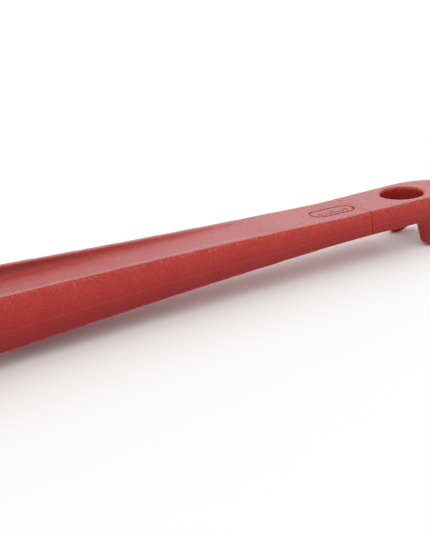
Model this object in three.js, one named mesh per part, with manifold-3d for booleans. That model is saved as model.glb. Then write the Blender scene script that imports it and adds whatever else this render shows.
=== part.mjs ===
// Heavy pipe wrench of the 18-inch class, lying on its side, in millimetres.
// X runs along the handle, with the hanging eye at +X and the jaws at -X.
// Y is the width, with the wrench's back at +Y, and Z is the thickness.
// While the pieces are made, X and Y start at the hanging hole's centre and Z at the mid-plane.

import * as THREE from "three";
import { mergeVertices } from "three/addons/utils/BufferGeometryUtils.js";
import Module from "manifold-3d";

const wasm = await Module();
wasm.setup();

const gap = 0.3; // between fixed pieces that touch
const jawOpening = 27; // between the teeth, as the wrench lies
const curveSteps = 8; // steps in each curve of an outline

// handle bar
const seamX = -32; // where the end piece meets the handle
const waistX = -43; // the narrowest place
const waistHalf = 16.5;
const flare = 0.0002075; // how fast the half width grows from the waist, per mm
const endHalfThick = 6.25;
const taperX = -45; // where the handle starts to thicken
const taper = 0.0325; // half thickness gained per mm towards the head
const neckX = -253;
const neckHalfThick = endHalfThick + taper * (taperX - neckX);
const webHalf = 7.5; // half thickness of the web between the flanges
const flangeWide = 5.5;
const flaredX = -220; // where the bar's back edge turns in towards the neck

// handle head
const headHalf = 11.7; // half thickness between the housing's cheeks
const shoulderX = -289;
const headFront = -33;
const headBack = -7;
const reliefBack = -12; // the back edge beside the housing's bridge
const reliefX = -314;
const heelSeatX = -352;
const jawPin = { x: -343, y: -20, radius: 3 };
const tongue = { end: -334, front: -27, back: -13, half: 6 };

// jaws
const heelTipX = -375;
const toothDeep = 2;
const teeth = 8;
const hookTipX = heelTipX - jawOpening;
const hookHalf = 11;
const shankY = 14; // the shank's axis
const shankHalf = 7.5; // half thickness between the shank's flats
const tailX = -285;

// thread of the shank and the nut
const pitch = 6;
const crest = 14;
const root = 11.5;
const ridgeWide = 2.4;
const threadTopX = -378;
const threadPlay = 0.4;

// adjusting nut and its window
const nutLowX = -345.7;
const nutHighX = -324.3;
const nutRadius = 18.6;
const flutes = 30;
const nutSteps = 18; // round the thread, and along each turn of it

// housing
const housingTopX = -364;
const housingHalf = 19.5;
const housingBack = 41;
const cheekFront = -14;
const pivot = { x: -306, y: -20, radius: 5, lobe: 15 };
const windowLowX = -346;
const windowHighX = -324;
const forkHalf = 12.2;
const bridgeFront = -6.4;

// springs
const leaf = { lowX: -304, highX: -275, front: -7.7, back: -6.7, half: 8 };
const rivet = { x: -297.5, z: 4.5, radius: 1.7, headRadius: 3 };
const coil = { x: -281, low: -20.4, high: -8.6, mean: 3.4, wire: 0.6, turns: 5 };

// end piece
const holeRadius = 11.4;
const eyeHalf = 17.4;
const eyeRoundX = 6; // where the round end starts
const eyeEndX = 33.5;
const lug = { inner: 11.5, rootX: -2.5, cornerX: 5.7, cornerRadius: 4, tipZ: -19.5, highX: 25 };
const endTongue = { end: -54, halfWide: 10, half: 3 };
const endPin = { x: -43, y: 5, radius: 2, low: -6, high: 4.4 };

const finishes = {
  coat: { color: 0xb0383c, roughness: 0.45, metalness: 0.0 },
  jawSteel: { color: 0x4a4a4c, roughness: 0.5, metalness: 0.9 },
  nutSteel: { color: 0x9c9a94, roughness: 0.35, metalness: 1.0 },
  springSteel: { color: 0x77797d, roughness: 0.35, metalness: 1.0 },
  pinSteel: { color: 0x8a8c90, roughness: 0.3, metalness: 1.0 },
};

// A closed geometry as a solid that can be joined and cut.
function toSolid(geometry) {
  const plain = geometry.clone();
  plain.deleteAttribute("normal");
  plain.deleteAttribute("uv");
  const merged = mergeVertices(plain, 1e-4);
  const mesh = new wasm.Mesh({
    numProp: 3,
    vertProperties: merged.attributes.position.array,
    triVerts: new Uint32Array(merged.index.array),
  });
  return new wasm.Manifold(mesh);
}

// A solid as a named mesh with a material of its own.
function toMesh(name, solid, finish) {
  const { numProp, vertProperties, triVerts } = solid.getMesh();
  const geometry = new THREE.BufferGeometry();
  geometry.setAttribute("position", new THREE.BufferAttribute(vertProperties, numProp));
  geometry.setIndex(new THREE.BufferAttribute(triVerts, 1));
  geometry.computeVertexNormals();
  const mesh = new THREE.Mesh(geometry, new THREE.MeshStandardMaterial(finish));
  mesh.name = name;
  return mesh;
}

function box(low, high) {
  const size = high.map((value, i) => value - low[i]);
  const geometry = new THREE.BoxGeometry(...size);
  geometry.translate(...low.map((value, i) => value + size[i] / 2));
  return toSolid(geometry);
}

// An outline in X and Y, from z = low to z = high.
function plate(shape, low, high, steps = curveSteps) {
  const options = { depth: high - low, bevelEnabled: false, curveSegments: steps };
  const geometry = new THREE.ExtrudeGeometry(shape, options);
  geometry.translate(0, 0, low);
  return toSolid(geometry);
}

// An outline in X and Z, from y = low to y = high.
function sidePlate(shape, low, high) {
  const options = { depth: high - low, bevelEnabled: false, curveSegments: curveSteps };
  const geometry = new THREE.ExtrudeGeometry(shape, options);
  geometry.rotateX(Math.PI / 2);
  geometry.translate(0, high, 0);
  return toSolid(geometry);
}

// An outline in Y and Z, from x = low to x = high.
function bar(shape, low, high) {
  const options = { depth: high - low, bevelEnabled: false, curveSegments: curveSteps / 4 };
  const geometry = new THREE.ExtrudeGeometry(shape, options);
  geometry.rotateX(Math.PI / 2);
  geometry.rotateZ(Math.PI / 2);
  geometry.translate(low, 0, 0);
  return toSolid(geometry);
}

// A round pin along Z.
function pinZ(x, y, radius, low, high, sides = 32) {
  const geometry = new THREE.CylinderGeometry(radius, radius, high - low, sides);
  geometry.rotateX(Math.PI / 2);
  geometry.translate(x, y, (low + high) / 2);
  return toSolid(geometry);
}

// A round pin along Y.
function pinY(x, z, radius, low, high, sides = 24) {
  const geometry = new THREE.CylinderGeometry(radius, radius, high - low, sides);
  geometry.translate(x, (low + high) / 2, z);
  return toSolid(geometry);
}

function halfWidth(x) {
  return waistHalf + flare * (waistX - x) ** 2;
}

// Places along the bar from one end to the other.
function stations(from, to, count) {
  return Array.from({ length: count + 1 }, (_, i) => from + ((to - from) * i) / count);
}

function handleOutline() {
  const start = seamX - gap / 2;
  const bulgeX = -236;
  const outline = new THREE.Shape();
  outline.setFromPoints([
    ...stations(flaredX, start, 10).map((x) => new THREE.Vector2(x, halfWidth(x))),
    ...stations(start, bulgeX, 11).map((x) => new THREE.Vector2(x, -halfWidth(x))),
  ]);
  outline.bezierCurveTo(-246, -25.4, -249, headFront, -264, headFront);
  outline.lineTo(heelSeatX + 2, headFront);
  outline.lineTo(heelSeatX, headFront + 2);
  outline.lineTo(heelSeatX, headBack);
  outline.lineTo(reliefX, headBack);
  outline.lineTo(reliefX + 3, reliefBack);
  outline.lineTo(-252, reliefBack);
  outline.bezierCurveTo(-238, reliefBack, -236, 23.5, flaredX, halfWidth(flaredX));
  return outline;
}

// The handle seen from its side: flat at the eye, a long wedge, then the slim head.
function handleSide() {
  const start = seamX - gap / 2;
  const upper = [
    [start, endHalfThick],
    [taperX, endHalfThick],
    [neckX, neckHalfThick],
    [shoulderX, neckHalfThick],
    [shoulderX, headHalf],
    [heelSeatX, headHalf],
  ];
  const lower = upper.map(([x, z]) => [x, -z]).reverse();
  return new THREE.Shape([...upper, ...lower].map(([x, z]) => new THREE.Vector2(x, z)));
}

// The trough between the flanges, which runs out where the wedge is as thin as the web.
function troughOutline() {
  const thinX = -70;
  const frontEnd = -228;
  const backEnd = -210;
  const inside = (x) => halfWidth(x) - flangeWide;
  const outline = new THREE.Shape();
  outline.setFromPoints([
    ...stations(backEnd, thinX, 7).map((x) => new THREE.Vector2(x, inside(x))),
    ...stations(thinX, frontEnd, 8).map((x) => new THREE.Vector2(x, -inside(x))),
  ]);
  outline.quadraticCurveTo(-238, -19.5, -244, -21.5);
  outline.quadraticCurveTo(-247, -19, -243, -16);
  outline.bezierCurveTo(-230, -12, -233, 17, backEnd, inside(backEnd));
  return outline;
}

function makeHandle() {
  let handle = plate(handleOutline(), -housingHalf, housingHalf);
  handle = handle.intersect(sidePlate(handleSide(), -60, 60));
  const trough = troughOutline();
  handle = handle.subtract(plate(trough, webHalf, housingHalf));
  handle = handle.subtract(plate(trough, -housingHalf, -webHalf));

  const slotLow = [heelSeatX - 1, tongue.front - gap, -tongue.half - gap];
  const slotHigh = [tongue.end + gap, tongue.back + gap, tongue.half + gap];
  handle = handle.subtract(box(slotLow, slotHigh));
  handle = handle.subtract(pinZ(jawPin.x, jawPin.y, jawPin.radius + gap, -20, 20));
  handle = handle.subtract(pinZ(pivot.x, pivot.y, pivot.radius + gap, -20, 20));
  const pocketRadius = coil.mean + coil.wire + 0.5;
  handle = handle.subtract(pinY(coil.x, 0, pocketRadius, coil.low - coil.wire - gap, 0));

  const endHalfWide = endTongue.halfWide + gap;
  const endHalf = endTongue.half + gap;
  const endSlot = box([endTongue.end - gap, -endHalfWide, -endHalf], [seamX + 1, endHalfWide, endHalf]);
  handle = handle.subtract(endSlot);
  for (const side of [-1, 1]) {
    const radius = endPin.radius + gap;
    handle = handle.subtract(pinZ(endPin.x, side * endPin.y, radius, -10, endPin.high + gap));
  }
  return toMesh("handle", handle, finishes.coat);
}

// The end piece's outline: it follows the bar, then closes in a half ellipse.
function eyeOutline() {
  const start = seamX + gap / 2;
  const steps = 28;
  const outline = new THREE.Shape();
  outline.moveTo(start, -halfWidth(start));
  outline.lineTo(eyeRoundX, -eyeHalf);
  for (let i = 1; i < steps; i += 1) {
    const angle = Math.PI * (i / steps - 0.5);
    outline.lineTo(eyeRoundX + (eyeEndX - eyeRoundX) * Math.cos(angle), eyeHalf * Math.sin(angle));
  }
  outline.lineTo(eyeRoundX, eyeHalf);
  outline.lineTo(start, halfWidth(start));
  return outline;
}

// A lug under the eye, seen from the side: steep at the handle's end, with a long slope to the other.
function lugOutline() {
  const face = -endHalfThick;
  const corner = lug.tipZ + lug.cornerRadius;
  const outline = new THREE.Shape();
  outline.moveTo(lug.rootX, face + 1);
  outline.lineTo(lug.rootX, face);
  outline.quadraticCurveTo(lug.rootX + 2, face, lug.rootX + 2.4, face - 2.3);
  outline.absarc(lug.cornerX, corner, lug.cornerRadius, Math.PI + 0.1, 1.5 * Math.PI);
  outline.bezierCurveTo(13, lug.tipZ, 21, lug.tipZ + 5.5, lug.highX, face);
  outline.lineTo(lug.highX, face + 1);
  return outline;
}

function makeEndEye() {
  const lugs = sidePlate(lugOutline(), lug.inner, eyeHalf + 1).add(
    sidePlate(lugOutline(), -eyeHalf - 1, -lug.inner),
  );
  let eye = plate(eyeOutline(), -endHalfThick, endHalfThick);
  eye = eye.add(plate(eyeOutline(), lug.tipZ, -endHalfThick).intersect(lugs));
  const tongueLow = [endTongue.end, -endTongue.halfWide, -endTongue.half];
  const tongueHigh = [seamX + 2, endTongue.halfWide, endTongue.half];
  eye = eye.add(box(tongueLow, tongueHigh));
  eye = eye.subtract(pinZ(0, 0, holeRadius, -20, 20, 48));
  for (const side of [-1, 1]) {
    eye = eye.subtract(pinZ(endPin.x, side * endPin.y, endPin.radius + gap, -20, 20));
  }
  return toMesh("end_eye", eye, finishes.coat);
}

function makeEyePin(name, side) {
  const pin = pinZ(endPin.x, side * endPin.y, endPin.radius, endPin.low, endPin.high, 24);
  return toMesh(name, pin, finishes.pinSteel);
}

// A row of saw teeth along Y, from one end to the other, with their tips at tipX and roots behind them.
function addTeeth(outline, tipX, rootX, fromY, toY) {
  const step = (toY - fromY) / teeth;
  for (let i = 0; i < teeth; i += 1) {
    outline.lineTo(rootX, fromY + step * i);
    outline.lineTo(tipX, fromY + step * (i + 0.7));
  }
  outline.lineTo(rootX, toY);
}

function makeHeelJaw() {
  const outline = new THREE.Shape();
  outline.moveTo(heelSeatX - gap, headBack - 1);
  addTeeth(outline, heelTipX, heelTipX + toothDeep, headBack - 1, headFront + 0.5);
  outline.lineTo(heelSeatX - gap, headFront + 0.5);
  let jaw = plate(outline, -headHalf, headHalf);
  const tongueHigh = [tongue.end, tongue.back, tongue.half];
  jaw = jaw.add(box([heelSeatX - 2, tongue.front, -tongue.half], tongueHigh));
  jaw = jaw.subtract(pinZ(jawPin.x, jawPin.y, jawPin.radius + gap, -20, 20));
  return toMesh("heel_jaw", jaw, finishes.jawSteel);
}

function makeHeelJawPin() {
  const pin = pinZ(jawPin.x, jawPin.y, jawPin.radius, gap - headHalf, headHalf - gap);
  return toMesh("heel_jaw_pin", pin, finishes.pinSteel);
}

// The hook seen from above: teeth towards the heel jaw, a round back and a blunt toe.
function hookOutline() {
  const rootX = hookTipX - toothDeep;
  const outline = new THREE.Shape();
  outline.moveTo(hookTipX + 6, 28);
  outline.bezierCurveTo(hookTipX - 14, 33, hookTipX - 42, 34, hookTipX - 44, 12);
  outline.bezierCurveTo(hookTipX - 45, -10, hookTipX - 32, -30, hookTipX - 17, -37);
  outline.quadraticCurveTo(hookTipX - 8, -40, rootX, -37);
  addTeeth(outline, hookTipX, rootX, -36, -6);
  outline.lineTo(rootX, -3);
  outline.quadraticCurveTo(rootX, 0, hookTipX + 3, 0);
  outline.lineTo(hookTipX + 6, 0);
  return outline;
}

// A round section about the shank's axis with two flats, from one side to the other or one edge of it.
function shankSection(radius, inner) {
  const angle = Math.asin(shankHalf / radius);
  const outline = new THREE.Shape();
  outline.absarc(0, 0, radius, -angle, angle);
  if (inner === undefined) {
    outline.absarc(0, 0, radius, Math.PI - angle, Math.PI + angle);
  } else {
    outline.lineTo(inner, shankHalf);
    outline.lineTo(inner, -shankHalf);
  }
  return outline;
}

function makeHookJaw() {
  const plainEnd = threadTopX + 2;
  let jaw = plate(hookOutline(), -hookHalf, hookHalf, 2 * curveSteps);
  jaw = jaw.add(box([hookTipX, 0, -shankHalf], [plainEnd, 2 * shankY, shankHalf]));
  jaw = jaw.add(bar(shankSection(root), threadTopX, tailX).translate([0, shankY, 0]));

  const lead = Math.atan(pitch / (2 * Math.PI * crest));
  const ridge = bar(shankSection(crest, root - 4), -ridgeWide / 2, ridgeWide / 2);
  const tilted = ridge.rotate([0, THREE.MathUtils.radToDeg(lead), 0]);
  const halfTurns = Math.floor((2 * (tailX - threadTopX - ridgeWide)) / pitch);
  for (let i = 0; i <= halfTurns; i += 1) {
    const x = threadTopX + ridgeWide + (i * pitch) / 2;
    jaw = jaw.add(tilted.rotate([180 * i, 0, 0]).translate([x, shankY, 0]));
  }
  const slab = box([hookTipX - 60, -60, -shankHalf], [tailX, 60, shankHalf]);
  const head = box([hookTipX - 60, -60, -hookHalf], [hookTipX + 6, 60, hookHalf]);
  return toMesh("hook_jaw", jaw.intersect(slab.add(head)), finishes.jawSteel);
}

// The nut's threaded hole: a round bar whose points move out where the shank's ridges pass.
function threadCore() {
  const low = nutLowX - pitch / nutSteps;
  const rows = Math.ceil(((nutHighX - nutLowX) / pitch) * nutSteps) + 2;
  const length = (rows * pitch) / nutSteps;
  const geometry = new THREE.CylinderGeometry(1, 1, length, nutSteps, rows);
  geometry.rotateZ(-Math.PI / 2);
  geometry.translate(low + length / 2, 0, 0);
  const firstRidge = threadTopX + ridgeWide;
  const grooveHalf = ridgeWide / 2 + 0.7;
  const place = geometry.attributes.position;
  for (let i = 0; i < place.count; i += 1) {
    const y = place.getY(i);
    const z = place.getZ(i);
    const turns = (place.getX(i) - firstRidge) / pitch - Math.atan2(z, y) / (2 * Math.PI);
    const off = Math.abs(turns - Math.round(turns)) * pitch;
    const radius = (off < grooveHalf ? crest : root) + threadPlay;
    place.setY(i, y * radius);
    place.setZ(i, z * radius);
  }
  return toSolid(geometry);
}

function makeAdjustingNut() {
  const outline = new THREE.Shape();
  for (let i = 0; i < 2 * flutes; i += 1) {
    const radius = nutRadius - (i % 2 ? 0.9 : 0);
    const angle = (Math.PI * i) / flutes;
    outline[i ? "lineTo" : "moveTo"](radius * Math.cos(angle), radius * Math.sin(angle));
  }
  let nut = bar(outline, nutLowX, nutHighX);
  const rim = [
    [0, nutLowX],
    [nutRadius - 1.5, nutLowX],
    [nutRadius + 0.5, nutLowX + 2],
    [nutRadius + 0.5, nutHighX - 2],
    [nutRadius - 1.5, nutHighX],
    [0, nutHighX],
  ];
  const blank = new THREE.LatheGeometry(rim.map(([r, x]) => new THREE.Vector2(r, x)), 40);
  blank.rotateZ(-Math.PI / 2);
  nut = nut.intersect(toSolid(blank));
  nut = nut.subtract(threadCore());
  return toMesh("adjusting_nut", nut.translate([0, shankY, 0]), finishes.nutSteel);
}

// The housing's outline: a block round the shank and the nut, with a round cheek on the pivot.
function housingOutline() {
  const outline = new THREE.Shape();
  outline.moveTo(housingTopX, cheekFront);
  outline.lineTo(-332, cheekFront);
  outline.quadraticCurveTo(-323, cheekFront, -320.1, -25.1);
  outline.absarc(pivot.x, pivot.y, pivot.lobe, THREE.MathUtils.degToRad(200), 2 * Math.PI);
  outline.lineTo(pivot.x + pivot.lobe, 16);
  outline.quadraticCurveTo(pivot.x + pivot.lobe, housingBack, pivot.x - 12, housingBack);
  outline.lineTo(housingTopX + 6, housingBack);
  outline.quadraticCurveTo(housingTopX, housingBack, housingTopX, housingBack - 6);
  return outline;
}

function makeHousing() {
  let housing = plate(housingOutline(), -housingHalf, housingHalf);
  const windowBack = shankY + nutRadius + 1;
  const windowFront = shankY - nutRadius - 1;
  housing = housing.subtract(box([windowLowX, windowFront, -20], [windowHighX, windowBack, 20]));
  const tunnelHalf = shankHalf + 0.7;
  housing = housing.subtract(box([-400, -1.2, -tunnelHalf], [-280, 2 * shankY + 1.2, tunnelHalf]));
  housing = housing.subtract(box([-400, -60, -forkHalf], [-280, bridgeFront, forkHalf]));
  housing = housing.subtract(pinZ(pivot.x, pivot.y, pivot.radius + gap, -20, 20));
  housing = housing.subtract(pinZ(pivot.x, pivot.y, 8.5, 15.8, 20));
  housing = housing.subtract(pinZ(pivot.x, pivot.y, 8.5, -20, -15.8));
  for (const side of [-1, 1]) {
    housing = housing.subtract(pinY(rivet.x, side * rivet.z, rivet.radius + gap, -10, 0));
  }
  return toMesh("housing", housing, finishes.coat);
}

// The pivot pin: a sunk head in the upper cheek and a groove for its ring in the lower one.
function makeHousingPin() {
  const profile = [
    [0, -18.7],
    [pivot.radius - 0.6, -18.7],
    [pivot.radius, -18.1],
    [pivot.radius, -17.4],
    [pivot.radius - 0.9, -17.4],
    [pivot.radius - 0.9, -15.6],
    [pivot.radius, -15.6],
    [pivot.radius, 16.1],
    [8.1, 16.1],
    [8.1, 17.9],
    [7.3, 18.7],
    [0, 18.7],
  ];
  const geometry = new THREE.LatheGeometry(profile.map(([r, z]) => new THREE.Vector2(r, z)), 32);
  geometry.rotateX(Math.PI / 2);
  geometry.translate(pivot.x, pivot.y, 0);
  return toMesh("housing_pin", toSolid(geometry), finishes.pinSteel);
}

// The retaining ring: an open ring in the pin's groove.
function makeHousingPinClip() {
  const open = 0.5;
  const outline = new THREE.Shape();
  outline.absarc(pivot.x, pivot.y, 7.6, open, 2 * Math.PI - open);
  outline.absarc(pivot.x, pivot.y, pivot.radius - 0.5, 2 * Math.PI - open, open, true);
  return toMesh("housing_pin_clip", plate(outline, -17.1, -15.9), finishes.springSteel);
}

function makeCoilSpring() {
  const steps = 12 * coil.turns;
  const points = [];
  for (let i = 0; i <= steps; i += 1) {
    const angle = (2 * Math.PI * coil.turns * i) / steps;
    const y = coil.low + ((coil.high - coil.low) * i) / steps;
    points.push(new THREE.Vector3(coil.mean * Math.cos(angle), y, coil.mean * Math.sin(angle)));
  }
  const wire = new THREE.Shape();
  wire.absarc(0, 0, coil.wire, 0, 2 * Math.PI);
  const path = new THREE.CatmullRomCurve3(points);
  const geometry = new THREE.ExtrudeGeometry(wire, { steps, extrudePath: path, curveSegments: 4 });
  geometry.translate(coil.x, 0, 0);
  return toMesh("coil_spring", toSolid(geometry), finishes.springSteel);
}

function makeFlatSpring() {
  let spring = box([leaf.lowX, leaf.front, -leaf.half], [leaf.highX, leaf.back, leaf.half]);
  for (const side of [-1, 1]) {
    spring = spring.subtract(pinY(rivet.x, side * rivet.z, rivet.radius + gap, -10, 0));
  }
  return toMesh("flat_spring", spring, finishes.springSteel);
}

function makeRivet(name, side) {
  const headBackY = leaf.front - gap;
  let body = pinY(rivet.x, side * rivet.z, rivet.radius, headBackY - 0.2, -1.8);
  body = body.add(pinY(rivet.x, side * rivet.z, rivet.headRadius, headBackY - 1.2, headBackY));
  return toMesh(name, body, finishes.pinSteel);
}

const wrench = new THREE.Group();
wrench.add(makeHandle());
wrench.add(makeEndEye());
wrench.add(makeEyePin("eye_pin_front", -1));
wrench.add(makeEyePin("eye_pin_back", 1));
wrench.add(makeHeelJaw());
wrench.add(makeHeelJawPin());
wrench.add(makeHookJaw());
wrench.add(makeAdjustingNut());
wrench.add(makeHousing());
wrench.add(makeHousingPin());
wrench.add(makeHousingPinClip());
wrench.add(makeCoilSpring());
wrench.add(makeFlatSpring());
wrench.add(makeRivet("flat_spring_rivet_lower", -1));
wrench.add(makeRivet("flat_spring_rivet_upper", 1));

// the part's origin is under the middle of its box, on the surface it lies on
const bounds = new THREE.Box3().setFromObject(wrench);
const middle = bounds.getCenter(new THREE.Vector3());
wrench.position.set(-middle.x, -middle.y, -bounds.min.z);

export default wrench;
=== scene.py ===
# Looks for the pipe wrench: castings, jaws, nut, springs, floor, lights and camera
import bpy
import bmesh
import math
from mathutils import Matrix, Vector


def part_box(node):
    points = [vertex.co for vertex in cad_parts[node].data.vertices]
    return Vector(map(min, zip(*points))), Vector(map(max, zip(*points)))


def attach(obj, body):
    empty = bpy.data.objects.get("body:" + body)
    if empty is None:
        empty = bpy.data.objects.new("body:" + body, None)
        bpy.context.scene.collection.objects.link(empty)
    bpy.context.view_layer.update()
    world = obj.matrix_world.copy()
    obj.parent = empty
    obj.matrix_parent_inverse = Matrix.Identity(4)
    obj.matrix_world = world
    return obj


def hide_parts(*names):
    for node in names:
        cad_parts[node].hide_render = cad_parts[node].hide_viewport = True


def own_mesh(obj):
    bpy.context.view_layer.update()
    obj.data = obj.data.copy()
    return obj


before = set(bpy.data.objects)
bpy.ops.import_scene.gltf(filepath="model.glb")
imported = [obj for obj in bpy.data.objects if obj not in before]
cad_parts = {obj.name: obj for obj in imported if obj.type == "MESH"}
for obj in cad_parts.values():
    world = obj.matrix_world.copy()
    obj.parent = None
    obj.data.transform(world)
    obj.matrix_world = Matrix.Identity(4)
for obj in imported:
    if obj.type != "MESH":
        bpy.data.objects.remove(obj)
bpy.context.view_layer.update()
mm = 0.001
hairline = 1e-6   # threshold for clean cuts, in metres

# places that everything else hangs on, in metres
eyeLow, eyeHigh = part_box("end_eye")
handleLow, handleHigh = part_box("handle")
eyeReach = 33.5 * mm   # from the hanging hole's centre to the wrench's end
holeX = eyeHigh[0] - eyeReach
midY = (eyeLow[1] + eyeHigh[1]) / 2
midZ = (handleLow[2] + handleHigh[2]) / 2


def deselectAll():
    for thing in bpy.context.selected_objects:
        thing.select_set(False)


def activate(thing):
    deselectAll()
    thing.select_set(True)
    bpy.context.view_layer.objects.active = thing


def pickFaces(thing, test):
    # in edit mode, selects the faces that pass the test
    bpy.ops.mesh.select_mode(type="FACE")
    bpy.ops.mesh.select_all(action="DESELECT")
    mesh = bmesh.from_edit_mesh(thing.data)
    for face in mesh.faces:
        face.select_set(bool(test(face)))
    bmesh.update_edit_mesh(thing.data)


def pickEdges(thing, test):
    # in edit mode, selects the edges that pass the test
    bpy.ops.mesh.select_mode(type="EDGE")
    bpy.ops.mesh.select_all(action="DESELECT")
    mesh = bmesh.from_edit_mesh(thing.data)
    for edge in mesh.edges:
        if test(edge):
            edge.select_set(True)
    bmesh.update_edit_mesh(thing.data)


def pickPoints(thing, test):
    # in edit mode, selects the points that pass the test
    bpy.ops.mesh.select_mode(type="VERT")
    bpy.ops.mesh.select_all(action="DESELECT")
    mesh = bmesh.from_edit_mesh(thing.data)
    for point in mesh.verts:
        point.select_set(bool(test(point.co)))
    bmesh.update_edit_mesh(thing.data)


def applyModifier(thing, kind, **settings):
    activate(thing)
    modifier = thing.modifiers.new(kind.title(), kind)
    for key, value in settings.items():
        setattr(modifier, key, value)
    bpy.ops.object.modifier_apply(modifier=modifier.name)


def settle(thing):
    # puts the object at the origin, with its place in its mesh
    activate(thing)
    bpy.ops.object.transform_apply(location=True, rotation=True, scale=True)


def smooth(thing, angle=32):
    activate(thing)
    bpy.ops.object.shade_smooth_by_angle(angle=math.radians(angle))


def copyNode(node, name):
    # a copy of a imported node's mesh, with its triangles merged into flat faces
    piece = bpy.data.objects.new(name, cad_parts[node].data.copy())
    piece.data.name = name
    piece.data.materials.clear()
    bpy.context.scene.collection.objects.link(piece)
    activate(piece)
    bpy.ops.object.mode_set(mode="EDIT")
    bpy.ops.mesh.select_all(action="SELECT")
    bpy.ops.mesh.remove_doubles(threshold=0.00001)
    bpy.ops.mesh.dissolve_limited(angle_limit=math.radians(0.6))
    bpy.ops.object.mode_set(mode="OBJECT")
    return piece


def cut(thing, cutter, operation="DIFFERENCE"):
    # cuts or joins with a second object, which is then gone
    applyModifier(thing, "BOOLEAN", operation=operation, object=cutter, solver="EXACT")
    bpy.data.objects.remove(cutter)


def addBlock(low, high):
    size = [b - a for a, b in zip(low, high)]
    centre = [(a + b) / 2 for a, b in zip(low, high)]
    bpy.ops.mesh.primitive_cube_add(size=1, location=centre, scale=size)
    block = bpy.context.object
    settle(block)
    return block


def addRod(x, y, radius, low, high, sides=48):
    bpy.ops.mesh.primitive_cylinder_add(
        vertices=sides, radius=radius, depth=high - low, location=(x, y, (low + high) / 2))
    rod = bpy.context.object
    settle(rod)
    return rod


def hand(piece, name, body, slot, finish, *nodes):
    # names a finished piece, gives it its body and material, and hides the nodes it stands for
    piece.name = name
    piece.data.name = name
    piece.data.materials.clear()
    piece.data.materials.append(finish)
    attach(piece, body)
    if nodes:
        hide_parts(*nodes)


class Wire:
    # a socket of a material, so that + - * / on it add Math nodes
    def __init__(self, tree, socket):
        self.tree = tree
        self.socket = socket

    def maths(self, operation, first, second=0.0):
        node = self.tree.nodes.new("ShaderNodeMath")
        node.operation = operation
        plug(self.tree, node.inputs[0], first)
        plug(self.tree, node.inputs[1], second)
        return Wire(self.tree, node.outputs[0])

    def __add__(self, other):
        return self.maths("ADD", self, other)

    def __radd__(self, other):
        return self.maths("ADD", other, self)

    def __sub__(self, other):
        return self.maths("SUBTRACT", self, other)

    def __rsub__(self, other):
        return self.maths("SUBTRACT", other, self)

    def __mul__(self, other):
        return self.maths("MULTIPLY", self, other)

    def __rmul__(self, other):
        return self.maths("MULTIPLY", other, self)

    def __truediv__(self, other):
        return self.maths("DIVIDE", self, other)

    def __abs__(self):
        return self.maths("ABSOLUTE", self)

    def above(self, floor):
        return self.maths("MAXIMUM", self, floor)

    def below(self, roof):
        return self.maths("MINIMUM", self, roof)

    def root(self):
        return self.maths("SQRT", self)

    def clamped(self):
        return self.above(0.0).below(1.0)


def plug(tree, socket, value):
    if isinstance(value, Wire):
        tree.links.new(value.socket, socket)
    else:
        socket.default_value = value


class Finish:
    # a material with one Principled shader
    def __init__(self, name, **constants):
        self.material = bpy.data.materials.new(name)
        self.material.use_nodes = True
        self.tree = self.material.node_tree
        self.shader = self.tree.nodes["Principled BSDF"]
        for key, value in constants.items():
            self.shader.inputs[key.replace("_", " ")].default_value = value
        self.place = self.node("ShaderNodeTexCoord", out="Object")

    def node(self, kind, settings=None, out=0, **values):
        node = self.tree.nodes.new(kind)
        for key, value in (settings or {}).items():
            setattr(node, key, value)
        for key, value in values.items():
            plug(self.tree, node.inputs[key.replace("_", " ")], value)
        return Wire(self.tree, node.outputs[out])

    def axes(self, output="Object"):
        split = self.tree.nodes.new("ShaderNodeSeparateXYZ")
        plug(self.tree, split.inputs[0], self.node("ShaderNodeTexCoord", out=output))
        return [Wire(self.tree, socket) for socket in split.outputs]

    def noise(self, scale, detail=2.0, roughness=0.5, vector=None):
        return self.node("ShaderNodeTexNoise", out=0, Vector=vector or self.place,
                         Scale=scale, Detail=detail, Roughness=roughness)

    def mix(self, factor, first, second):
        node = self.tree.nodes.new("ShaderNodeMix")
        node.data_type = "RGBA"
        plug(self.tree, node.inputs[0], factor)
        plug(self.tree, node.inputs[6], first)
        plug(self.tree, node.inputs[7], second)
        return Wire(self.tree, node.outputs[2])

    def bump(self, height, distance, strength=1.0):
        normal = self.node("ShaderNodeBump", Height=height, Distance=distance, Strength=strength)
        plug(self.tree, self.shader.inputs["Normal"], normal)

    def give(self, **values):
        for key, value in values.items():
            plug(self.tree, self.shader.inputs[key.replace("_", " ")], value)


coat = {
    "deep": (0.375, 0.006, 0.006, 1),
    "bright": (0.47, 0.030, 0.016, 1),
    "low": (0.215, 0.001, 0.002, 1),   # painted shade: towards the underside, and on the trough's walls
    "hole": (0.14, 0.002, 0.004, 1),   # painted shade inside the hanging hole
    "paintedGlint": (0.80, 0.22, 0.10, 1),    # painted highlight: grain specks catching the light on rounded edges and the upper sides
    "line": (0.48, 0.045, 0.03, 1),    # along the parting line
    "roughness": 0.28,
    "grain": 1700,        # per metre, and the next two as well
    "cloud": 95,
    "patch": 28,
    "grainHeight": 0.2 * mm,
    "partDrop": 0.13,     # how far the parting line lies below the middle, as a share of the thickness
    "lineHalf": 0.35 * mm,
    "holeRadius": 11.6 * mm,
    "holeFade": 0.8 * mm,
    "wallFrom": 3.5 * mm,   # how far in from the bar's sides the trough's walls start, where the painted shade in the trough begins
    "wallFade": 1 * mm,
    "endFade": 10 * mm,     # along the bar at the trough's end, where the painted shade in the trough fades out
    "paintedShadeMix": 0.95,
    "paintedEdgeGlint": 0.7,
    "paintedSideGlint": 0.22,
    "lineMix": 0.5,
}


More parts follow.
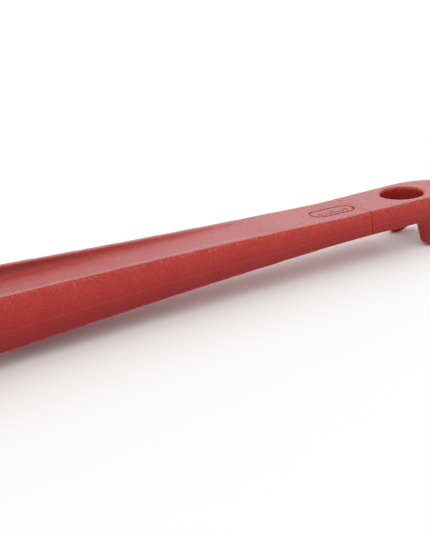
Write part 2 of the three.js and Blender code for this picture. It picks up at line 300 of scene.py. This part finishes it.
def redCoat():
    # grainy powder coat over a casting, with painted shade towards the underside, on the trough's walls and
    # inside the hole, and painted highlights on the upper sides and rounded edges
    finish = Finish("redCoat", IOR=1.42)
    x, y, z = finish.axes()
    grain = finish.noise(coat["grain"], 2.0, 0.6)
    cloud = finish.noise(coat["cloud"], 3.0, 0.55)
    patch = finish.noise(coat["patch"], 2.0, 0.5)
    halfHere = (holeX + bar["taperFrom"] - x).above(0.0) * bar["taper"] + bar["endHalfThick"]
    drop = midZ - z
    upward = finish.axes("Normal")[2]
    side = (1 - abs(upward) * 1.6).clamped()
    # the band of rounded upper edges that gets the painted highlight
    edge = (upward * (1 - upward) * 4).clamped()
    line = 1 - (abs(drop - halfHere * 2 * coat["partDrop"]) / coat["lineHalf"]).clamped()
    line = line * side
    # painted shade: the sides darken towards the underside
    paintedUnderShade = ((drop / halfHere) * 0.75 + 0.25).clamped() * side
    away = ((x - holeX) * (x - holeX) + (y - midY) * (y - midY)).root()
    # painted shade: darker within the hanging hole's radius
    holeShadeMask = ((coat["holeRadius"] - away) / coat["holeFade"]).clamped()
    # painted shade on the trough's steep walls, in the same colour as the painted shade on the underside
    fromWaist = x - (holeX + bar["waist"])
    inner = fromWaist * fromWaist * bar["flare"] + (bar["waistHalf"] - coat["wallFrom"])
    steep = ((1 - abs(upward)) * 3).clamped()
    alongTrough = ((holeX + bar["troughStart"] - x) / coat["endFade"]).clamped()
    troughShadeMask = ((inner - abs(y - midY)) / coat["wallFade"]).clamped() * steep * alongTrough
    mottle = ((cloud - 0.36) * 3.0).clamped()
    speck = ((grain - 0.5) * 5.0).clamped()
    # painted light: the upper part of the sides is made lighter
    paintedUpperLight = (0.1 - drop / halfHere).clamped() * side
    # the coat's own mottling and grain, plus the painted light on the upper sides
    grainMottleAndPaintedLight = (mottle * 0.3 + speck * 0.5 + paintedUpperLight * 0.3).clamped()
    base = finish.mix(grainMottleAndPaintedLight, coat["deep"], coat["bright"])
    # mixes in the painted shade towards the underside
    base = finish.mix(paintedUnderShade * coat["paintedShadeMix"], base, coat["low"])
    # painted highlight: grain specks lit on the rounded edges and upper sides
    base = finish.mix((edge * coat["paintedEdgeGlint"] + paintedUpperLight * coat["paintedSideGlint"]) * speck, base, coat["paintedGlint"])
    # mixes in the painted shade in the trough
    base = finish.mix(troughShadeMask, base, coat["low"])
    base = finish.mix(line * coat["lineMix"], base, coat["line"])
    # mixes in the painted shade inside the hole
    base = finish.mix(holeShadeMask, base, coat["hole"])
    shine = (patch - 0.5) * 0.2 + (grain - 0.5) * 0.3 + coat["roughness"]
    finish.give(Base_Color=base, Roughness=shine)
    finish.bump(grain * 1.2 + cloud * 0.9 + line * 0.6, coat["grainHeight"], 0.9)
    return finish.material


forging = {
    "dark": (0.035, 0.034, 0.036, 1),
    "scale": (0.085, 0.078, 0.074, 1),
    "bright": (0.42, 0.41, 0.40, 1),
    "wornDeep": 1.6 * mm,   # how far below the tooth tips the steel is bright
    "wornFrom": 2 * mm,     # how far in front of the middle the worn part starts
    "wornFade": 1.5 * mm,
    "pitHeight": 0.25 * mm,
}


def forgedSteel(name, tipX):
    # dark forging with bright worn teeth at tipX
    finish = Finish(name)
    x, y = finish.axes()[:2]
    patch = finish.noise(70, 4.0, 0.6)
    pits = finish.noise(700, 3.0, 0.6)
    worn = (1.6 - abs(x - tipX) / forging["wornDeep"]).clamped()
    worn = worn * ((patch - 0.3) * 4.0).clamped()
    worn = worn * ((midY - forging["wornFrom"] - y) / forging["wornFade"]).clamped()
    base = finish.mix(((patch - 0.35) * 3.0).clamped(), forging["dark"], forging["scale"])
    base = finish.mix(worn, base, forging["bright"])
    shine = 0.52 - worn * 0.2 + (pits - 0.5) * 0.2
    finish.give(Base_Color=base, Metallic=worn * 0.35 + 0.6, Roughness=shine)
    finish.bump(pits * 0.7 + patch * 0.6, forging["pitHeight"], 0.7)
    return finish.material


plating = {
    "dull": (0.30, 0.285, 0.255, 1),
    "bright": (0.50, 0.485, 0.45, 1),
    "dirt": (0.045, 0.036, 0.030, 1),
    "cleanDeep": 0.25 * mm,   # how far below the knurling's ridges the dirt starts
    "dirtFade": 0.4 * mm,
    "markHeight": 0.08 * mm,
}


def platedSteel():
    # cloudy plating, with dirt in the grooves of the nut's knurling
    finish = Finish("platedSteel")
    low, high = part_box("adjusting_nut")
    y, z = finish.axes()[1:]
    cloud = finish.noise(120, 3.0, 0.6)
    marks = finish.noise(900, 2.0, 0.7)
    across = y - (low[1] + high[1]) / 2
    rise = z - (low[2] + high[2]) / 2
    deep = (high[2] - low[2]) / 2 - plating["cleanDeep"] - (across * across + rise * rise).root()
    dirt = (deep / plating["dirtFade"]).clamped() * (cloud * 1.6).clamped()
    base = finish.mix(((cloud - 0.3) * 2.5).clamped(), plating["dull"], plating["bright"])
    base = finish.mix(dirt, base, plating["dirt"])
    shine = 0.24 + cloud * 0.16 + (marks - 0.5) * 0.12 + dirt * 0.3
    finish.give(Base_Color=base, Metallic=1 - dirt * 0.8, Roughness=shine)
    finish.bump(marks, plating["markHeight"], 0.6)
    return finish.material


steels = {
    "wireDark": (0.16, 0.17, 0.20, 1),
    "wireBright": (0.33, 0.33, 0.35, 1),
    "pinDark": (0.36, 0.36, 0.37, 1),
    "pinBright": (0.55, 0.55, 0.56, 1),
    "scratchHeight": 0.05 * mm,
}


def springSteel():
    # oiled, slightly blued wire and strip
    finish = Finish("springSteel", Metallic=1.0)
    cloud = finish.noise(150, 3.0, 0.6)
    base = finish.mix(((cloud - 0.3) * 2.5).clamped(), steels["wireDark"], steels["wireBright"])
    finish.give(Base_Color=base, Roughness=0.28 + cloud * 0.2)
    finish.bump(finish.noise(1200, 2.0), steels["scratchHeight"], 0.5)
    return finish.material


def groundSteel():
    # turned and ground pins, with fine rings
    finish = Finish("groundSteel", Metallic=1.0)
    cloud = finish.noise(200, 3.0, 0.6)
    rings = finish.node("ShaderNodeTexWave", {"wave_type": "RINGS", "rings_direction": "Z"},
                        out=1, Vector=finish.place, Scale=500.0, Distortion=2.0)
    base = finish.mix(((cloud - 0.3) * 2.5).clamped(), steels["pinDark"], steels["pinBright"])
    finish.give(Base_Color=base, Roughness=0.25 + cloud * 0.2)
    finish.bump(rings * 0.5 + cloud, steels["scratchHeight"], 0.5)
    return finish.material


casting = {
    "eyeVoxel": 0.5 * mm,
    "eyePasses": 21,
    "handleVoxel": 0.7 * mm,
    "handlePasses": 11,
    "housingVoxel": 0.7 * mm,
    "housingPasses": 10,
    "rounds": 3,         # how often the skin is relaxed and laid on the true faces again
    "roundPasses": 6,
}


def roundCasting(piece, voxel, passes):
    # a fine even skin, relaxed and laid on the true faces in turn, then smoothed until its edges are round
    guide = piece.copy()
    guide.data = piece.data.copy()
    bpy.context.scene.collection.objects.link(guide)
    applyModifier(piece, "REMESH", mode="VOXEL", voxel_size=voxel)
    for turn in range(casting["rounds"]):
        applyModifier(piece, "SMOOTH", factor=0.5, iterations=casting["roundPasses"])
        applyModifier(piece, "SHRINKWRAP", wrap_method="NEAREST_SURFACEPOINT", target=guide)
    bpy.data.objects.remove(guide)
    applyModifier(piece, "SMOOTH", factor=0.5, iterations=passes)


def trimEnd(piece, x, side):
    # cuts the piece off flat at x, and drops what lies beyond it on that side
    activate(piece)
    bpy.ops.object.mode_set(mode="EDIT")
    bpy.ops.mesh.select_all(action="SELECT")
    bpy.ops.mesh.bisect(plane_co=(x, 0, 0), plane_no=(side, 0, 0), clear_outer=True, use_fill=True,
                        threshold=hairline)
    bpy.ops.object.mode_set(mode="OBJECT")


bar = {
    "waistHalf": 16.5 * mm,
    "waist": -43 * mm,        # from the hole's centre
    "flare": 0.2075,          # half width gained, per square metre
    "endHalfThick": 6.25 * mm,
    "taperFrom": -45 * mm,
    "taper": 0.0325,
    "frontSwell": (-236 * mm, -264 * mm),   # where the front side swings from the bar to the head
    "backSwell": (-220 * mm, -252 * mm),
    "neck": -253 * mm,
    "shoulder": -289 * mm,
    "headHalf": 11.7 * mm,
    "headFront": -33 * mm,
    "headBack": -7 * mm,
    "reliefBack": -12 * mm,
    "relief": -314 * mm,
    "seat": -352 * mm,
    "spare": 6 * mm,          # extra length at both ends, until they are cut off flat
    "rim": 4.3 * mm,          # from the side to the trough
    "wall": 5.6 * mm,         # how wide the trough's sloping wall is
    "webHalf": 7.5 * mm,
    "troughStart": -84 * mm,
    "troughEnd": -237.2 * mm,
    "rings": 4,
    "curl": 2.2,              # how quickly the wall drops near the rim
    "barStep": 12 * mm,       # between the stations that start at the seam
    "barStations": 14,
    "runs": (                 # first place, step and count of the further runs of stations
        (-182 * mm, -6 * mm, 6),
        (-218 * mm, -3.2 * mm, 17),
    ),
}


def ease(value, start, end):
    t = min(max((value - start) / (end - start), 0), 1)
    return t * t * (3 - 2 * t)


def halfWidth(x):
    return bar["waistHalf"] + bar["flare"] * (bar["waist"] - x) ** 2


def frontEdge(x):
    start, end = bar["frontSwell"]
    wide = -halfWidth(max(x, start))
    return wide + (bar["headFront"] - wide) * ease(x, start, end)


def backEdge(x):
    if x < bar["relief"]:
        return bar["headBack"]
    start, end = bar["backSwell"]
    wide = halfWidth(max(x, start))
    return wide + (bar["reliefBack"] - wide) * ease(x, start, end)


def halfThick(x):
    if x < bar["shoulder"]:
        return bar["headHalf"]
    return bar["endHalfThick"] + bar["taper"] * max(0, bar["taperFrom"] - max(x, bar["neck"]))


def makeHandle():
    # a block is cut into stations along X, and each station gets its own width and thickness
    end = handleHigh[0] - holeX + bar["spare"]
    start = bar["seat"] - bar["spare"]
    stations = [end - bar["barStep"] * i for i in range(1, bar["barStations"] + 1)]
    for first, step, count in bar["runs"]:
        stations += [first + step * i for i in range(count)]
    stations += [bar["shoulder"] + 0.8 * mm, bar["shoulder"], bar["relief"] + 3 * mm, bar["relief"]]
    handle = addBlock((holeX + start, midY - bar["waistHalf"], midZ - bar["endHalfThick"]),
                      (holeX + end, midY + bar["waistHalf"], midZ + bar["endHalfThick"]))
    activate(handle)
    bpy.ops.object.mode_set(mode="EDIT")
    for x in stations:
        bpy.ops.mesh.select_all(action="SELECT")
        bpy.ops.mesh.bisect(plane_co=(holeX + x, 0, 0), plane_no=(1, 0, 0), threshold=hairline)
    mesh = bmesh.from_edit_mesh(handle.data)
    for point in mesh.verts:
        x = point.co.x - holeX
        front = frontEdge(x)
        back = backEdge(x)
        point.co.y = midY + (back if point.co.y > midY else front)
        half = halfThick(x - 0.1 * mm)
        point.co.z = midZ + (half if point.co.z > midZ else -half)
    bmesh.update_edit_mesh(handle.data)

    # the trough in both faces: a rim, then rings that curve down to a flat web
    low = holeX + bar["troughEnd"]
    high = holeX + bar["troughStart"]
    for side in (1, -1):
        pickFaces(handle, lambda face: face.normal.z * side > 0.9
                  and low < face.calc_center_median().x < high)
        bpy.ops.mesh.inset(thickness=bar["rim"], depth=0, use_even_offset=True)
        for ring in range(bar["rings"]):
            bpy.ops.mesh.inset(thickness=bar["wall"] / bar["rings"], depth=0, use_even_offset=False)
            left = (1 - (ring + 1) / bar["rings"]) ** bar["curl"]
            mesh = bmesh.from_edit_mesh(handle.data)
            for point in {point for face in mesh.faces if face.select for point in face.verts}:
                rise = halfThick(point.co.x - holeX) - bar["webHalf"]
                point.co.z = midZ + side * (bar["webHalf"] + max(rise, 0) * left)
            bmesh.update_edit_mesh(handle.data)
    bpy.ops.object.mode_set(mode="OBJECT")
    roundCasting(handle, casting["handleVoxel"], casting["handlePasses"])
    trimEnd(handle, handleHigh[0], 1)
    trimEnd(handle, handleLow[0], -1)
    return handle


mark = {
    "x": -46.3 * mm,     # the middle of the gauge mark, from the hole's centre
    "y": -2 * mm,
    "length": 26 * mm,
    "width": 12 * mm,
    "line": 1.1 * mm,
    "depth": 0.45 * mm,
    "ticks": 7,
    "tickHalf": 0.4 * mm,
    "tickFrom": 2.4 * mm,     # from the outline's outer side
    "longTick": 4.6 * mm,
    "shortTick": 2.8 * mm,
    "sides": 32,
}


def longRod(radius, depth):
    # a short upright rod, drawn out along X to the mark's length
    rod = addRod(0, 0, radius, -depth, depth, mark["sides"])
    shift = (mark["length"] - mark["width"]) / 2
    activate(rod)
    bpy.ops.object.mode_set(mode="EDIT")
    for side in (-1, 1):
        pickPoints(rod, lambda place: place.x * side > 0.2 * mm)
        bpy.ops.transform.translate(value=(side * shift, 0, 0))
    bpy.ops.object.mode_set(mode="OBJECT")
    return rod


def makeMark():
    # a cutter for a plain rounded gauge outline with ticks, at its place in the top face
    half = mark["width"] / 2
    depth = mark["depth"]
    ring = longRod(half, depth)
    cut(ring, longRod(half - mark["line"], depth * 2))
    for i in range(mark["ticks"]):
        x = (i - (mark["ticks"] - 1) / 2) * mark["length"] / (mark["ticks"] + 3)
        reach = mark["longTick"] if i % 3 == 0 else mark["shortTick"]
        tick = addBlock((x - mark["tickHalf"], mark["tickFrom"] - half, -depth),
                        (x + mark["tickHalf"], mark["tickFrom"] - half + reach, depth))
        cut(ring, tick, "UNION")
    ring.rotation_euler = (0, math.atan(bar["taper"]), 0)
    ring.location = (holeX + mark["x"], midY + mark["y"], midZ + halfThick(mark["x"]))
    settle(ring)
    return ring


def joined(things):
    activate(things[0])
    for thing in things:
        thing.select_set(True)
    bpy.ops.object.join()
    return things[0]


room = {
    "play": 0.3 * mm,         # round a pin, a tongue or a spring
    "jawPinPlay": 0.25 * mm,
    "past": 10 * mm,          # how far a cutter sticks out of the casting
    "hubRadius": 5.3 * mm,    # of the housing pin's hole
    "pocketRadius": 4.5 * mm,
    "pocketReach": 30 * mm,
    "tongueHalf": (10 * mm, 3 * mm),        # the end piece's tongue, along Y and Z
    "tongueReach": 2 * mm,                  # how far the tongue is sunk in the end piece
    "jawSlotY": (-27.3 * mm, -12.7 * mm),   # the heel jaw's slot, from the middle
    "jawSlotHalf": 6.3 * mm,
    "seam": 0.3 * mm,                       # gap between the handle and its end piece
    "rootFrom": 1 * mm,                     # from the seam to the cut that is drawn out
}
eyePins = ("eye_pin_front", "eye_pin_back")


def middle(node):
    low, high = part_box(node)
    return (low[0] + high[0]) / 2, (low[1] + high[1]) / 2


def throughHole(node, radius):
    # a cutter for an upright hole, open above and below
    x, y = middle(node)
    return addRod(x, y, radius, handleLow[2] - room["past"], handleHigh[2] + room["past"])


def pinRadius(node, play):
    low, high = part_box(node)
    return (high[0] - low[0]) / 2 + play


def blindHole(node, play):
    # a cutter for an upright pin's hole that opens below only
    x, y = middle(node)
    low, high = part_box(node)
    return addRod(x, y, pinRadius(node, play), low[2] - room["past"], high[2] + play)


def finishHandle(finish):
    handle = makeHandle()
    play = room["play"]
    past = room["past"]
    halfY, halfZ = room["tongueHalf"]
    front, back = room["jawSlotY"]
    slots = [
        makeMark(),
        addBlock((eyeLow[0] - play, midY - halfY - play, midZ - halfZ - play),
                 (handleHigh[0] + past, midY + halfY + play, midZ + halfZ + play)),
        addBlock((handleLow[0] - past, midY + front, midZ - room["jawSlotHalf"]),
                 (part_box("heel_jaw")[1][0] + play, midY + back, midZ + room["jawSlotHalf"])),
    ]
    cut(handle, joined(slots))
    hub = throughHole("housing_pin", room["hubRadius"])
    coilLow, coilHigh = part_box("coil_spring")
    pocket = addRod(0, 0, room["pocketRadius"], 0, room["pocketReach"])
    pocket.rotation_euler = (-math.pi / 2, 0, 0)
    pocket.location = ((coilLow[0] + coilHigh[0]) / 2, coilLow[1] - play, midZ)
    settle(pocket)
    pins = [blindHole(node, play) for node in eyePins]
    jawPin = throughHole("heel_jaw_pin", pinRadius("heel_jaw_pin", room["jawPinPlay"]))
    cut(handle, joined([jawPin, hub, pocket] + pins))
    smooth(handle, 40)
    hand(handle, "handleCasting", "handle", "red_coat", finish, "handle")


def makeEndEye(finish):
    # the end piece is rounded with extra length at the seam, and then cut off sharp there
    eye = copyNode("end_eye", "endEyeCasting")
    seam = handleHigh[0] + room["seam"]
    root = seam + room["rootFrom"]
    activate(eye)
    bpy.ops.object.mode_set(mode="EDIT")
    bpy.ops.mesh.select_all(action="SELECT")
    bpy.ops.mesh.bisect(plane_co=(root, 0, 0), plane_no=(1, 0, 0), clear_inner=True, use_fill=True,
                        threshold=hairline)
    pickFaces(eye, lambda face: face.normal.x < -0.99
              and abs(face.calc_center_median().x - root) < 0.01 * mm)
    bpy.ops.mesh.extrude_region_move(TRANSFORM_OT_translate={"value": (-bar["spare"], 0, 0)})
    bpy.ops.object.mode_set(mode="OBJECT")
    roundCasting(eye, casting["eyeVoxel"], casting["eyePasses"])
    trimEnd(eye, seam, -1)
    halfY, halfZ = room["tongueHalf"]
    tongue = addBlock((eyeLow[0], midY - halfY, midZ - halfZ),
                      (seam + room["tongueReach"], midY + halfY, midZ + halfZ))
    cut(eye, tongue, "UNION")
    cut(eye, joined([throughHole(node, pinRadius(node, room["play"])) for node in eyePins]))
    smooth(eye, 40)
    hand(eye, "endEyeCasting", "handle", "red_coat", finish, "end_eye")


def makeHousing(finish):
    housing = copyNode("housing", "housingCasting")
    roundCasting(housing, casting["housingVoxel"], casting["housingPasses"])
    smooth(housing, 40)
    hand(housing, "housingCasting", "housing", "red_coat", finish, "housing")


def bevelledCopy(node, name, body, slot, finish, width, segments=3, limit=30):
    piece = copyNode(node, name)
    applyModifier(piece, "BEVEL", width=width, segments=segments, limit_method="ANGLE",
                  angle_limit=math.radians(limit), use_clamp_overlap=True)
    smooth(piece, 35)
    hand(piece, name, body, slot, finish, node)


hook = {
    "round": 1.3 * mm,
    "fine": 0.35 * mm,
    "reach": 44 * mm,        # from the jaw's back to its tooth tips
    "keepOff": 8 * mm,       # from the tips to the outer edges that are rounded
}


def makeHookJaw(finish):
    # the forging's outer edges are well rounded, its teeth and thread only just
    jaw = copyNode("hook_jaw", "hookJaw")
    low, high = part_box("hook_jaw")
    behindTeeth = low[0] + hook["reach"] - hook["keepOff"]
    activate(jaw)
    bpy.ops.object.mode_set(mode="EDIT")
    pickEdges(jaw, lambda edge: edge.calc_face_angle(0) > math.radians(60) and all(
        point.co.x < behindTeeth and min(point.co.z - low[2], high[2] - point.co.z) < 0.1 * mm
        for point in edge.verts))
    bpy.ops.mesh.bevel(offset=hook["round"], segments=4, affect="EDGES", clamp_overlap=False)
    bpy.ops.object.mode_set(mode="OBJECT")
    applyModifier(jaw, "BEVEL", width=hook["fine"], segments=2, limit_method="ANGLE",
                  angle_limit=math.radians(30), use_clamp_overlap=True)
    smooth(jaw, 35)
    hand(jaw, "hookJaw", "hook_jaw", "jaw_steel", finish, "hook_jaw")


coil = {
    "turns": 5,
    "wire": 0.6 * mm,     # radius
    "mean": 3.4 * mm,
    "steps": 32,          # per turn
    "pressed": 0.83,      # its length when the housing is rocked right over
}


def makeCoilSpring(finish):
    low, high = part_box("coil_spring")
    steps = coil["steps"] * coil["turns"]
    bpy.ops.mesh.primitive_circle_add(vertices=16, radius=coil["wire"], location=(coil["mean"], 0, 0),
                                      fill_type="NGON")
    spring = bpy.context.object
    settle(spring)
    applyModifier(spring, "SCREW", axis="Y", angle=2 * math.pi * coil["turns"],
                  screw_offset=high[1] - low[1] - 2 * coil["wire"], steps=steps, render_steps=steps)
    spring.location = ((low[0] + high[0]) / 2, low[1] + coil["wire"], midZ)
    settle(spring)
    activate(spring)
    bpy.ops.object.mode_set(mode="EDIT")
    bpy.ops.mesh.select_all(action="SELECT")
    bpy.ops.mesh.remove_doubles(threshold=0.00001)
    bpy.ops.mesh.fill_holes(sides=0)
    bpy.ops.mesh.select_all(action="SELECT")
    bpy.ops.mesh.normals_make_consistent(inside=False)
    bpy.ops.object.mode_set(mode="OBJECT")
    smooth(spring, 50)
    hand(spring, "coilSpring", "handle", "spring_steel", finish, "coil_spring")
    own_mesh(spring)


studio = {
    "floorSize": 12,
    "floorDrop": 0.2 * mm,
    "floorTone": (0.93, 0.93, 0.93, 1),
    "world": 1.06,
    "keyPower": 4.5,
    "keySize": (2.6, 1.1),
    "keyPlace": (1.0, 1.8, 0.66),
}


def makeFloor():
    bpy.ops.mesh.primitive_plane_add(size=studio["floorSize"], location=(0, 0, -studio["floorDrop"]))
    floor = bpy.context.object
    settle(floor)
    floor.name = "floor"
    finish = Finish("paleFloor", Base_Color=studio["floorTone"], Roughness=0.9)
    floor.data.materials.append(finish.material)


def makeLights():
    world = bpy.data.worlds.new("studio")
    bpy.context.scene.world = world
    world.use_nodes = True
    sky = world.node_tree.nodes["Background"]
    sky.inputs["Color"].default_value = (1, 1, 1, 1)
    sky.inputs["Strength"].default_value = studio["world"]
    bpy.ops.object.light_add(type="AREA", location=studio["keyPlace"])
    key = bpy.context.object
    key.data.energy = studio["keyPower"]
    key.data.shape = "RECTANGLE"
    key.data.size, key.data.size_y = studio["keySize"]
    aim = Vector((0, 0, 0)) - Vector(studio["keyPlace"])
    key.rotation_euler = aim.to_track_quat("-Z", "Y").to_euler()


shot = {
    "yaw": 29.50,
    "pitch": 18.85,
    "roll": -4.24,
    "lens": 87.15,
    "fromHole": (-408.6 * mm, -518.9 * mm, 188.9 * mm),  # from the hole's centre on the top face
}


def makeCamera():
    yaw, pitch, roll = (math.radians(shot[key]) for key in ("yaw", "pitch", "roll"))
    ahead = Vector((math.sin(yaw) * math.cos(pitch), math.cos(yaw) * math.cos(pitch), -math.sin(pitch)))
    level = Vector((math.cos(yaw), -math.sin(yaw), 0))
    rise = level.cross(ahead)
    right = math.cos(roll) * level + math.sin(roll) * rise
    up = math.cos(roll) * rise - math.sin(roll) * level
    turn = Matrix((right, up, -ahead)).transposed().to_4x4()
    data = bpy.data.cameras.new("camera")
    data.lens = shot["lens"]
    data.clip_start = 0.01
    data.clip_end = 50
    camera = bpy.data.objects.new("camera", data)
    bpy.context.scene.collection.objects.link(camera)
    place = Vector((holeX, midY, midZ + bar["endHalfThick"])) + Vector(shot["fromHole"])
    camera.matrix_world = Matrix.Translation(place) @ turn
    bpy.context.scene.camera = camera


deselectAll()
bpy.context.scene.view_settings.view_transform = "Standard"
makeCamera()
makeLights()
makeFloor()
print("camera, lights and floor made")

red = redCoat()
plated = platedSteel()
spring = springSteel()
ground = groundSteel()
hookSteel = forgedSteel("hookSteel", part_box("hook_jaw")[0][0] + hook["reach"])
heelSteel = forgedSteel("heelSteel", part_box("heel_jaw")[0][0])
print("finishes made")

finishHandle(red)
print("handle made")
makeEndEye(red)
makeHousing(red)
print("end eye and housing made")

makeHookJaw(hookSteel)
bevelledCopy("heel_jaw", "heelJaw", "handle", "jaw_steel", heelSteel, 0.4 * mm)
bevelledCopy("adjusting_nut", "adjustingNut", "adjusting_nut", "nut_steel", plated, 0.2 * mm, 2)
bevelledCopy("housing_pin", "housingPin", "housing", "pin_steel", ground, 0.3 * mm)
bevelledCopy("housing_pin_clip", "housingPinClip", "housing", "spring_steel", spring, 0.2 * mm)
bevelledCopy("heel_jaw_pin", "heelJawPin", "handle", "pin_steel", ground, 0.4 * mm)
bevelledCopy("eye_pin_front", "eyePinFront", "handle", "pin_steel", ground, 0.4 * mm)
bevelledCopy("eye_pin_back", "eyePinBack", "handle", "pin_steel", ground, 0.4 * mm)
bevelledCopy("flat_spring", "flatSpring", "housing", "spring_steel", spring, 0.2 * mm)
bevelledCopy("flat_spring_rivet_lower", "flatSpringRivetLower", "housing", "pin_steel", ground, 0.3 * mm)
bevelledCopy("flat_spring_rivet_upper", "flatSpringRivetUpper", "housing", "pin_steel", ground, 0.3 * mm)
makeCoilSpring(spring)
print("steel pieces made")
